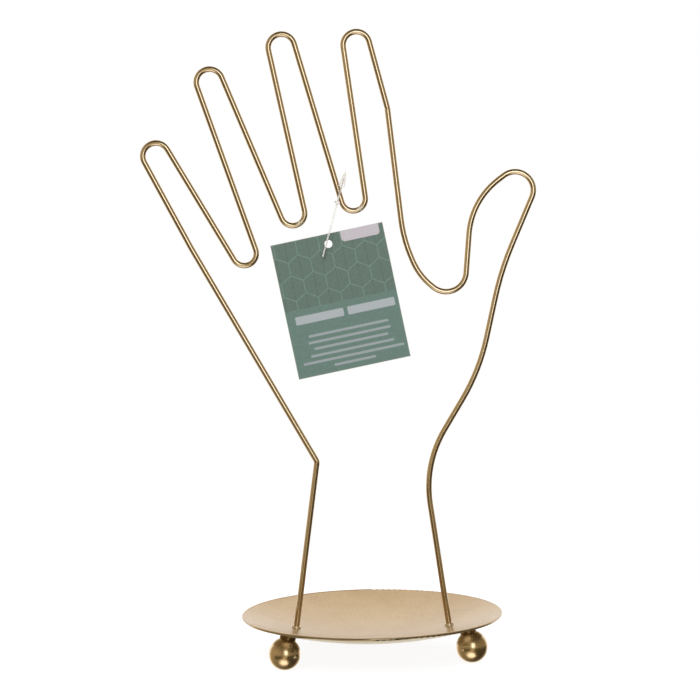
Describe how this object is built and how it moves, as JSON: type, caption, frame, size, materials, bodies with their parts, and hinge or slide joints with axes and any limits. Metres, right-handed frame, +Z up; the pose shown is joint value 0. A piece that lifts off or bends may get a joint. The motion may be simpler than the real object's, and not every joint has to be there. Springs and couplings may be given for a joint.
{
  "type": "hand jewelry holder",
  "caption": "Jewelry stand: open hand outlined in bent gold wire, welded on a shallow round dish with ball feet; a card tag swings from a nylon loop on one finger",
  "frame": {"origin": "on the floor under the middle of the dish's rim", "axes": "+Z up; the hand's flat outline lies in the XZ plane and faces -Y; +X to the thumb's side as seen from the front"},
  "size_m": [0.1724, 0.115, 0.2751],
  "materials": {
    "polished_wire": "polished, lacquered",
    "wire_weld": "satin weld metal",
    "satin_dish": "satin",
    "polished_ball": "polished",
    "foot_weld": "dull weld metal",
    "printed_card": "matte printed card",
    "clear_nylon": "clear moulded"
  },
  "bodies": {
    "stand": {"finger_wire": "polished_wire", "thumb_wire": "polished_wire", "wire_weld_left": "wire_weld", "wire_weld_right": "wire_weld", "dish": "satin_dish", "ball_foot_left": "polished_ball", "ball_foot_right": "polished_ball", "ball_foot_rear": "polished_ball", "foot_weld_left": "foot_weld", "foot_weld_right": "foot_weld", "foot_weld_rear": "foot_weld"},
    "loop": {"tag_loop": "clear_nylon"},
    "tag": {"hang_tag": "printed_card"}
  },
  "joints": [
    {"name": "loop_swing", "type": "hinge", "parent": "stand", "child": "loop", "pos_m": [-0.011, 0, 0.20348], "axis": [0.9613, 0, -0.2756], "range_deg": [-60, 60]},
    {"name": "tag_swing", "type": "hinge", "parent": "loop", "child": "tag", "pos_m": [-0.0172, 0, 0.18185], "axis": [0, 1, 0], "range_deg": [-17, 14]}
  ]
}
